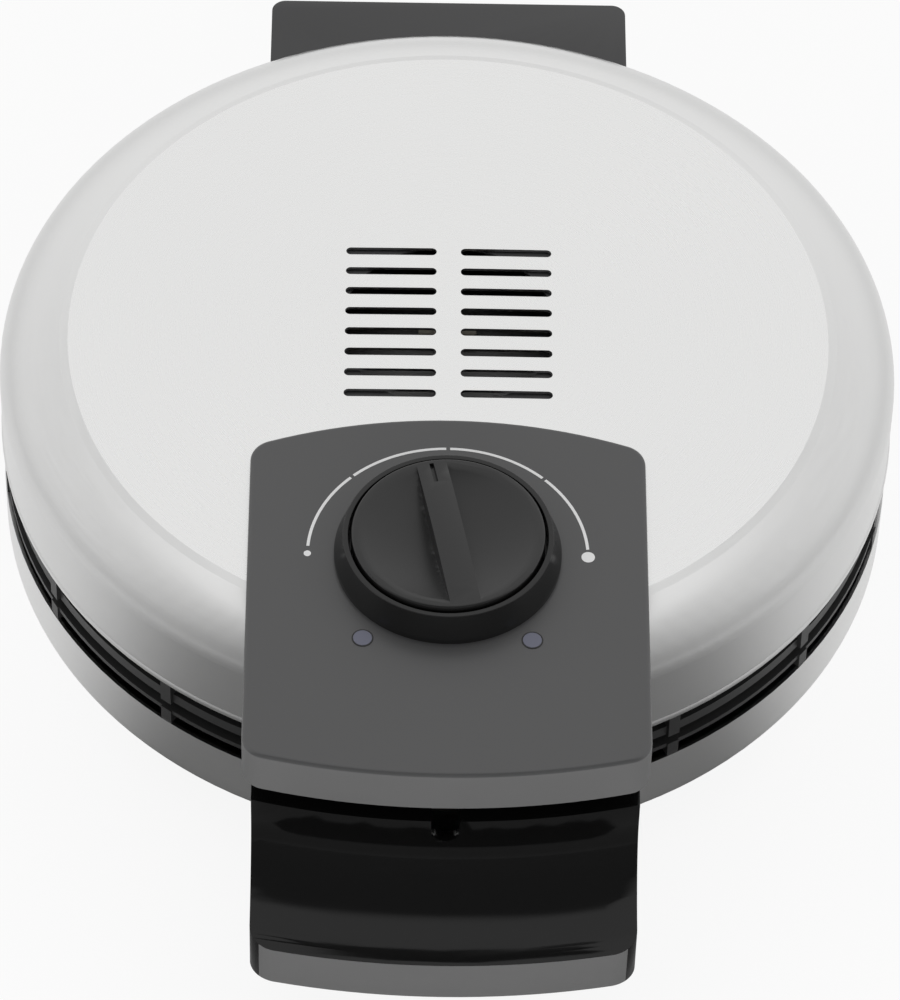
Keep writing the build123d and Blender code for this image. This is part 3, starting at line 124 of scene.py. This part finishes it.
MOULDED_FINISHES = {
    # A lighter copy of the black plastic for upright faces turned to the front: painted light
    "lip_plastic": dict(color=(0.115, 0.115, 0.115), roughness=0.4, grain=3000.0, depth=0.00001),
    "dark_sheet": dict(color=(0.05, 0.05, 0.052), roughness=0.55),
    "ring_plastic": dict(color=(0.02, 0.02, 0.02), roughness=0.45, specular=0.35),
    "nonstick_plate": dict(color=(0.02, 0.02, 0.021), roughness=0.36, grain=1500.0, depth=0.00003),
    "ceramic": dict(color=(0.75, 0.73, 0.68), roughness=0.5),
    "panel_plastic": dict(
        color=(0.05, 0.05, 0.051), roughness=0.34, grain=3000.0, depth=0.000012, specular=0.7
    ),
    "cover_plastic": dict(color=(0.012, 0.012, 0.012), roughness=0.5),
    "bezel_plastic": dict(color=(0.007, 0.007, 0.007), roughness=0.24, specular=0.4),
    "knob_plastic": dict(color=(0.008, 0.008, 0.008), roughness=0.3),
    "lens": dict(color=(0.115, 0.12, 0.165), roughness=0.22),
    "lamp_glass": dict(color=(0.7, 0.6, 0.5), roughness=0.15),
    "circuit_board": dict(color=(0.42, 0.28, 0.12), roughness=0.5),
    "wire_sleeve": dict(color=(0.6, 0.58, 0.5), roughness=0.5),
    "block_plastic": dict(color=(0.04, 0.04, 0.041), roughness=0.42),
    "handle_plastic": dict(
        color=(0.003, 0.003, 0.003), roughness=0.12, grain=3000.0, depth=0.000006, specular=0.3
    ),
    "foot_rubber": dict(color=(0.03, 0.03, 0.03), roughness=0.7),
    "dial_ink": dict(color=(0.82, 0.82, 0.82), roughness=0.5),
}
BRUSHED_FINISHES = {
    "brushed_steel": dict(color=(0.80, 0.80, 0.795), roughness=0.36, stretch=0.9, depth=0.00001),
    "disc_steel": dict(color=(0.77, 0.77, 0.765), roughness=0.27, stretch=0.2, depth=0.000003),
}
METAL_FINISHES = {
    "bare_sheet": dict(color=(0.20, 0.20, 0.20), roughness=0.4),
    "heater_tube": dict(color=(0.30, 0.27, 0.23), roughness=0.4),
    "screw_steel": dict(color=(0.55, 0.55, 0.54), roughness=0.3),
    "thermostat_case": dict(color=(0.5, 0.46, 0.4), roughness=0.4),
}

# Edge rounds, in metres, and the angles in degrees that count as an edge and as flat
HANDLE_ROUND = 0.0009
BLOCK_ROUND = 0.0008
KNOB_ROUND = 0.00035
ROUND_STEPS = 3
EDGE_ANGLE = 35
FLAT_ANGLE = 0.5
WELD_GAP = 1e-6

# Parts of a face's normal along an axis, which tell the faces that take a second material: the disc's
# steel, or the lighter plastic that paints light on upright faces
FACING_UP = 0.9
FACING_FRONT = 0.75
NEARLY_UPRIGHT = 0.3

# Dial print on the panel, in metres, with its arcs in degrees from straight back
DIAL_RADIUS = 0.0323
DIAL_LINE = 0.0007
DIAL_THICKNESS = 0.00004
DIAL_ARCS = ((-86.0, -44.4), (-42.8, -0.8), (0.8, 42.8), (44.4, 86.0))
DIAL_END = 90
DIAL_SMALL_DOT = 0.00085
DIAL_LARGE_DOT = 0.00155
ROUND_POINTS = 48

# Dark rims round the lenses, in metres
LENS_RADIUS = 0.00219
RIM_WIDTH = 0.00028
RIM_RISE = 0.00012


def make_camera():
    """The photograph's camera."""
    camera = bpy.data.objects.new("camera", bpy.data.cameras.new("camera"))
    bpy.context.scene.collection.objects.link(camera)
    turn = Matrix((CAMERA_RIGHT, CAMERA_UP, CAMERA_BACK)).transposed().to_4x4()
    camera.matrix_world = Matrix.Translation(CAMERA_PLACE) @ turn
    camera.data.lens = CAMERA_LENS
    camera.data.sensor_width = CAMERA_SENSOR
    camera.data.clip_start = CAMERA_NEAR
    camera.data.clip_end = CAMERA_FAR
    bpy.context.scene.camera = camera


def node(tree, kind, inputs=None, **settings):
    """A new shader node with its settings; an input is a value or another node's output."""
    made = tree.nodes.new(kind)
    for key, value in settings.items():
        setattr(made, key, value)
    for key, value in (inputs or {}).items():
        if isinstance(value, bpy.types.NodeSocket):
            tree.links.new(value, made.inputs[key])
        else:
            made.inputs[key].default_value = value
    return made


def number_math(tree, operation, first, second):
    """The result of an operation on two numbers."""
    return node(tree, "ShaderNodeMath", {0: first, 1: second}, operation=operation).outputs[0]


def vector_math(tree, operation, *vectors, output="Vector"):
    """The result of an operation on one or two vectors."""
    made = node(tree, "ShaderNodeVectorMath", dict(enumerate(vectors)), operation=operation)
    return made.outputs[output]


def blend(tree, factor, first, second, kind="RGBA"):
    """A mix of two colours, or of two numbers where the kind is FLOAT."""
    made = node(tree, "ShaderNodeMix", {"Factor": factor, "A": first, "B": second}, data_type=kind)
    return made.outputs["Result"]


def noise(tree, vector, scale, detail, **more):
    """A cloudy value between 0 and 1."""
    made = node(tree, "ShaderNodeTexNoise", {"Vector": vector, "Scale": scale, "Detail": detail, **more})
    return made.outputs["Fac"]


def smooth_range(tree, value, low, high, at_low, at_high):
    """A value's way from low to high, eased between two results."""
    made = node(
        tree,
        "ShaderNodeMapRange",
        {"Value": value, "From Min": low, "From Max": high, "To Min": at_low, "To Max": at_high},
        interpolation_type="SMOOTHSTEP",
    )
    return made.outputs["Result"]


def front_share(tree, way):
    """How far a direction from the object points to the studio's dark side, from 0 to 1."""
    parts = node(tree, "ShaderNodeSeparateXYZ", {0: way}).outputs
    flat = node(tree, "ShaderNodeCombineXYZ", {0: parts["X"], 1: parts["Y"]}).outputs[0]
    level = vector_math(tree, "NORMALIZE", flat)
    heading = node(tree, "ShaderNodeSeparateXYZ", {0: level}).outputs["Y"]
    return smooth_range(tree, heading, -DARK_FULL, -DARK_EDGE, 1.0, 0.0)


def make_world():
    """A pale studio all round, with its dark side in front of the object, towards the camera."""
    world = bpy.data.worlds.new("studio")
    bpy.context.scene.world = world
    world.use_nodes = True
    tree = world.node_tree
    tree.nodes.clear()
    way = node(tree, "ShaderNodeTexCoord").outputs["Generated"]
    height = node(tree, "ShaderNodeSeparateXYZ", {0: way}).outputs["Z"]
    below = smooth_range(tree, height, DARK_TOP, 1.0, 1.0, 0.0)
    dark = number_math(tree, "MULTIPLY", front_share(tree, way), below)
    horizon = smooth_range(tree, height, 0.0, HORIZON_TOP, HORIZON_LEVEL, 1.0)
    shade = blend(tree, dark, horizon, DARK_LEVEL, "FLOAT")
    studio = node(tree, "ShaderNodeBackground", {"Color": shade, "Strength": 1.0})
    plain = node(tree, "ShaderNodeBackground", {"Color": WHITE, "Strength": 1.0})
    seen = node(tree, "ShaderNodeLightPath").outputs["Is Camera Ray"]
    mix = node(tree, "ShaderNodeMixShader", {0: seen, 1: studio.outputs[0], 2: plain.outputs[0]})
    node(tree, "ShaderNodeOutputWorld", {0: mix.outputs[0]})


def make_lamp(name, place, aim, size, power):
    """A rectangular lamp that lights the object but isn't mirrored in it."""
    lamp = bpy.data.objects.new(name, bpy.data.lights.new(name, "AREA"))
    bpy.context.scene.collection.objects.link(lamp)
    lamp.data.shape = "RECTANGLE"
    lamp.data.size, lamp.data.size_y = size
    lamp.data.energy = power
    lamp.location = place
    lamp.visible_glossy = False
    lamp.rotation_euler = (aim - place).to_track_quat("-Z", "Y").to_euler()


def floor_material():
    """White with the object's shadow to the camera, and darker in front where the object mirrors it, a
    painted shade.
    """
    material = bpy.data.materials.new("floor")
    material.use_nodes = True
    tree = material.node_tree
    tree.nodes.clear()
    front = front_share(tree, node(tree, "ShaderNodeTexCoord").outputs["Object"])
    path = node(tree, "ShaderNodeLightPath").outputs
    mirrored = number_math(tree, "MAXIMUM", path["Is Glossy Ray"], path["Is Transmission Ray"])
    # Painted shade: mirrored rays see the floor darker and barely glowing towards the front
    front_shade_share = number_math(tree, "MULTIPLY", mirrored, front)
    pale = blend(tree, front_shade_share, FLOOR_COLOR, FLOOR_FRONT_PAINTED_SHADE)
    matt = node(tree, "ShaderNodeBsdfDiffuse", {"Color": pale})
    glow = node(tree, "ShaderNodeEmission", {"Color": WHITE, "Strength": 1.0})
    level = blend(tree, front, FLOOR_MIRRORED, FLOOR_FRONT_MIRRORED, "FLOAT")
    faint = number_math(tree, "MULTIPLY", mirrored, level)
    seen = number_math(tree, "MULTIPLY", path["Is Camera Ray"], FLOOR_SEEN)
    share = number_math(tree, "MAXIMUM", faint, seen)
    mix = node(tree, "ShaderNodeMixShader", {0: share, 1: matt.outputs[0], 2: glow.outputs[0]})
    node(tree, "ShaderNodeOutputMaterial", {0: mix.outputs[0]})
    return material


def make_floor():
    """A wide flat floor under the object."""
    mesh = bpy.data.meshes.new("floor")
    form = bmesh.new()
    bmesh.ops.create_grid(form, x_segments=2, y_segments=2, size=FLOOR_HALF)
    form.to_mesh(mesh)
    form.free()
    mesh.materials.append(floor_material())
    floor = bpy.data.objects.new("floor", mesh)
    bpy.context.scene.collection.objects.link(floor)


def new_material(name, color, roughness, metallic=0.0):
    """A material with its node tree and its shader."""
    material = bpy.data.materials.new(name)
    material.use_nodes = True
    shader = material.node_tree.nodes["Principled BSDF"]
    shader.inputs["Base Color"].default_value = (*color, 1)
    shader.inputs["Roughness"].default_value = roughness
    shader.inputs["Metallic"].default_value = metallic
    return material, material.node_tree, shader


def object_place(tree):
    """The place on the object, in its own coordinates."""
    return node(tree, "ShaderNodeTexCoord").outputs["Object"]


def vary_gloss(tree, shader, source, low, high):
    """Lets the roughness follow a cloudy value, between two results."""
    spread = node(tree, "ShaderNodeMapRange", {"Value": source, "To Min": low, "To Max": high})
    tree.links.new(spread.outputs["Result"], shader.inputs["Roughness"])


def vary_tone(tree, source, color, darkest, lightest):
    """A colour that follows a cloudy value, between two shares of itself."""
    dark = (*[channel * darkest for channel in color], 1)
    light = (*[channel * lightest for channel in color], 1)
    return blend(tree, source, dark, light)


def set_bump(tree, shader, height, depth, strength):
    """Gives the surface a relief, with its depth in metres."""
    bump = node(tree, "ShaderNodeBump", {"Height": height, "Distance": depth, "Strength": strength})
    tree.links.new(bump.outputs[0], shader.inputs["Normal"])


def moulded(name, color, roughness, grain=2600.0, depth=0.00002, specular=0.5):
    """Moulded plastic: a fine grain, and a slow drift of its gloss and tone."""
    material, tree, shader = new_material(name, color, roughness)
    shader.inputs["Specular IOR Level"].default_value = specular
    where = object_place(tree)
    fine = noise(tree, where, grain, GRAIN_DETAIL)
    slow = noise(tree, where, DRIFT_SCALE, DRIFT_DETAIL)
    vary_gloss(tree, shader, slow, roughness - DRIFT_GLOSS, roughness + DRIFT_GLOSS)
    tone = vary_tone(tree, slow, color, 1 - DRIFT_TONE, 1 + DRIFT_TONE)
    tree.links.new(tone, shader.inputs["Base Color"])
    set_bump(tree, shader, fine, depth, GRAIN_BUMP)
    return material


def brushed_round(name, color, roughness, stretch, depth):
    """Steel brushed in circles about the plate axis, with its gloss stretched across the brushing."""
    material, tree, shader = new_material(name, color, roughness, metallic=1.0)
    shader.inputs["Anisotropic"].default_value = stretch
    where = object_place(tree)
    centred = vector_math(tree, "SUBTRACT", where, (0, plate_y, 0))
    parts = node(tree, "ShaderNodeSeparateXYZ", {0: centred}).outputs
    flat = node(tree, "ShaderNodeCombineXYZ", {0: parts["X"], 1: parts["Y"]}).outputs[0]
    radius = vector_math(tree, "LENGTH", flat, output="Value")
    angle = number_math(tree, "ARCTAN2", parts["X"], parts["Y"])
    polar = node(tree, "ShaderNodeCombineXYZ", {0: radius, 1: angle, 2: parts["Z"]}).outputs[0]
    drawn_out = vector_math(tree, "MULTIPLY", polar, BRUSH_SHAPE)
    lines = noise(tree, drawn_out, BRUSH_SCALE, BRUSH_DETAIL, Roughness=BRUSH_BREAKS)
    cloud = noise(tree, where, CLOUD_SCALE, CLOUD_DETAIL)
    vary_gloss(tree, shader, lines, roughness + BRUSH_GLOSS[0], roughness + BRUSH_GLOSS[1])
    tone = vary_tone(tree, lines, color, *BRUSH_TONES)
    tree.links.new(blend(tree, cloud, tone, (*color, 1)), shader.inputs["Base Color"])
    set_bump(tree, shader, lines, depth, BRUSH_BUMP)
    around = vector_math(tree, "CROSS_PRODUCT", (0, 0, 1), flat)
    tree.links.new(around, shader.inputs["Tangent"])
    return material


def plain_metal(name, color, roughness):
    """Sheet, screws and tubes: metal with a mottle in tone and gloss."""
    material, tree, shader = new_material(name, color, roughness, metallic=1.0)
    cloud = noise(tree, object_place(tree), MOTTLE_SCALE, MOTTLE_DETAIL)
    vary_gloss(tree, shader, cloud, roughness + MOTTLE_GLOSS[0], roughness + MOTTLE_GLOSS[1])
    tree.links.new(vary_tone(tree, cloud, color, *MOTTLE_TONES), shader.inputs["Base Color"])
    return material


def make_materials():
    """Every material by its name."""
    made = {}
    for kind, finishes in (
        (moulded, MOULDED_FINISHES),
        (brushed_round, BRUSHED_FINISHES),
        (plain_metal, METAL_FINISHES),
    ):
        for name, finish in finishes.items():
            made[name] = kind(name, **finish)
    return made


def add_object(name, form, material, body):
    """Puts a finished bmesh in the scene as a piece that rides on a body."""
    mesh = bpy.data.meshes.new(name)
    form.to_mesh(mesh)
    form.free()
    mesh.materials.append(material)
    piece = bpy.data.objects.new(name, mesh)
    bpy.context.scene.collection.objects.link(piece)
    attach(piece, body)
    return piece


def on_disc(face):
    """Whether a face of the lid lies inside the crease round its raised disc."""
    from_axis = math.hypot(face.center.x, face.center.y - plate_y)
    return from_axis < DISC_RADIUS and face.normal.z > FACING_UP


def on_panel_wall(face):
    """Whether a face of the panel is on its upright walls."""
    return abs(face.normal.z) < NEARLY_UPRIGHT


def on_lip(face):
    """Whether a face of the handle is on its upright front edge."""
    return face.normal.y < -FACING_FRONT and face.calc_center_median().y < lip_y


def two_tone_copy(name, body, second, belongs):
    """A copy of a node's mesh in its place, with a second material on the faces that belong to it."""
    mesh = frame["nodes"][name].data.copy()
    mesh.name = name + "_finished"
    mesh.materials.clear()
    mesh.materials.append(materials[slot_of[name]])
    mesh.materials.append(materials[second])
    for face in mesh.polygons:
        face.material_index = int(belongs(face))
    piece = bpy.data.objects.new(name + "_finished", mesh)
    bpy.context.scene.collection.objects.link(piece)
    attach(piece, body)
    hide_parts(name)


def rounded_copy(name, body, width, second=None, belongs=None):
    """A copy of a node's mesh in its place, with its sharp edges rounded."""
    form = bmesh.new()
    form.from_mesh(frame["nodes"][name].data)
    bmesh.ops.remove_doubles(form, verts=form.verts, dist=WELD_GAP)
    flat = math.radians(FLAT_ANGLE)
    bmesh.ops.dissolve_limit(form, angle_limit=flat, verts=form.verts, edges=form.edges)
    for face in form.faces:
        face.smooth = True
        if belongs:
            face.material_index = int(belongs(face))
    piece = add_object(name + "_rounded", form, materials[slot_of[name]], body)
    if second:
        piece.data.materials.append(materials[second])
    bevel = piece.modifiers.new("edges", "BEVEL")
    bevel.width = width
    bevel.segments = ROUND_STEPS
    bevel.limit_method = "ANGLE"
    bevel.angle_limit = math.radians(EDGE_ANGLE)
    bevel.use_clamp_overlap = True
    bevel.harden_normals = True
    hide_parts(name)


def dial_point(radius, angle):
    """A point about the knob, with the angle from straight back, clockwise seen from above."""
    way = math.radians(angle)
    return (radius * math.sin(way), knob_y + radius * math.cos(way))


def raise_print(form):
    """Gives flat print its thickness and stands it on the panel's top."""
    made = bmesh.ops.extrude_face_region(form, geom=list(form.faces))
    moved = [item for item in made["geom"] if isinstance(item, bmesh.types.BMVert)]
    bmesh.ops.translate(form, vec=(0, 0, DIAL_THICKNESS), verts=moved)
    bmesh.ops.recalc_face_normals(form, faces=form.faces)


def dial_arc(start, end):
    """One stretch of the dial's line, between two angles."""
    form = bmesh.new()
    edges = (DIAL_RADIUS - DIAL_LINE / 2, DIAL_RADIUS + DIAL_LINE / 2)
    rows = []
    for step in range(ROUND_POINTS + 1):
        angle = start + (end - start) * step / ROUND_POINTS
        rows.append([form.verts.new((*dial_point(radius, angle), panel_top)) for radius in edges])
    for first, second in zip(rows, rows[1:]):
        form.faces.new((first[0], first[1], second[1], second[0]))
    raise_print(form)
    return form


def dial_dot(angle, size):
    """A dot on the dial's line, with its radius as its size."""
    form = bmesh.new()
    x, y = dial_point(DIAL_RADIUS, angle)
    ring = []
    for step in range(ROUND_POINTS):
        way = math.tau * step / ROUND_POINTS
        ring.append(form.verts.new((x + size * math.cos(way), y + size * math.sin(way), panel_top)))
    form.faces.new(ring)
    raise_print(form)
    return form


def make_dial():
    """The dial's print: four stretches of line, and a dot at each end."""
    ink = materials["dial_ink"]
    for number, (start, end) in enumerate(DIAL_ARCS, 1):
        add_object(f"dial_arc_{number}", dial_arc(start, end), ink, "lid")
    add_object("dial_small_dot", dial_dot(-DIAL_END, DIAL_SMALL_DOT), ink, "lid")
    add_object("dial_large_dot", dial_dot(DIAL_END, DIAL_LARGE_DOT), ink, "lid")


def lens_rim(lens):
    """A thin dark ring round one lens, on the panel's top."""
    low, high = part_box(lens)
    middle = (low + high) / 2
    outer = LENS_RADIUS + RIM_WIDTH
    rim_top = panel_top + RIM_RISE
    profile = ((LENS_RADIUS, panel_top), (LENS_RADIUS, rim_top), (outer, rim_top), (outer, panel_top))
    form = bmesh.new()
    rows = []
    for step in range(ROUND_POINTS):
        way = math.tau * step / ROUND_POINTS
        x, y = math.cos(way), math.sin(way)
        rows.append(
            [form.verts.new((middle.x + radius * x, middle.y + radius * y, z)) for radius, z in profile]
        )
    for first, second in zip(rows, rows[1:] + rows[:1]):
        for corner in range(len(profile)):
            after = (corner + 1) % len(profile)
            form.faces.new((first[corner], second[corner], second[after], first[after]))
    bmesh.ops.recalc_face_normals(form, faces=form.faces)
    return form


def make_rims():
    """A rim round each lens."""
    for lens in ("power_lens", "ready_lens"):
        add_object(lens + "_rim", lens_rim(lens), materials["bezel_plastic"], "lid")


make_camera()
make_world()
make_lamp("front_softbox", LAMP_PLACE, LAMP_AIM, LAMP_SIZE, LAMP_POWER)
make_floor()
materials = make_materials()
for name, piece in frame["nodes"].items():
    piece.data.materials.clear()
    piece.data.materials.append(materials[slot_of[name]])
# The panel's upright walls and the handle's front lip take the lighter plastic, painted light where the
# front lamp falls
two_tone_copy("control_panel", "lid", "lip_plastic", on_panel_wall)
rounded_copy("lower_handle", "base", HANDLE_ROUND, second="lip_plastic", belongs=on_lip)
two_tone_copy("lid_shell", "lid", "disc_steel", on_disc)
rounded_copy("lid_hinge_block", "lid", BLOCK_ROUND)
rounded_copy("rear_block", "base", BLOCK_ROUND)
rounded_copy("knob", "knob", KNOB_ROUND)
make_dial()
make_rims()

bpy.context.scene.view_settings.view_transform = "Standard"
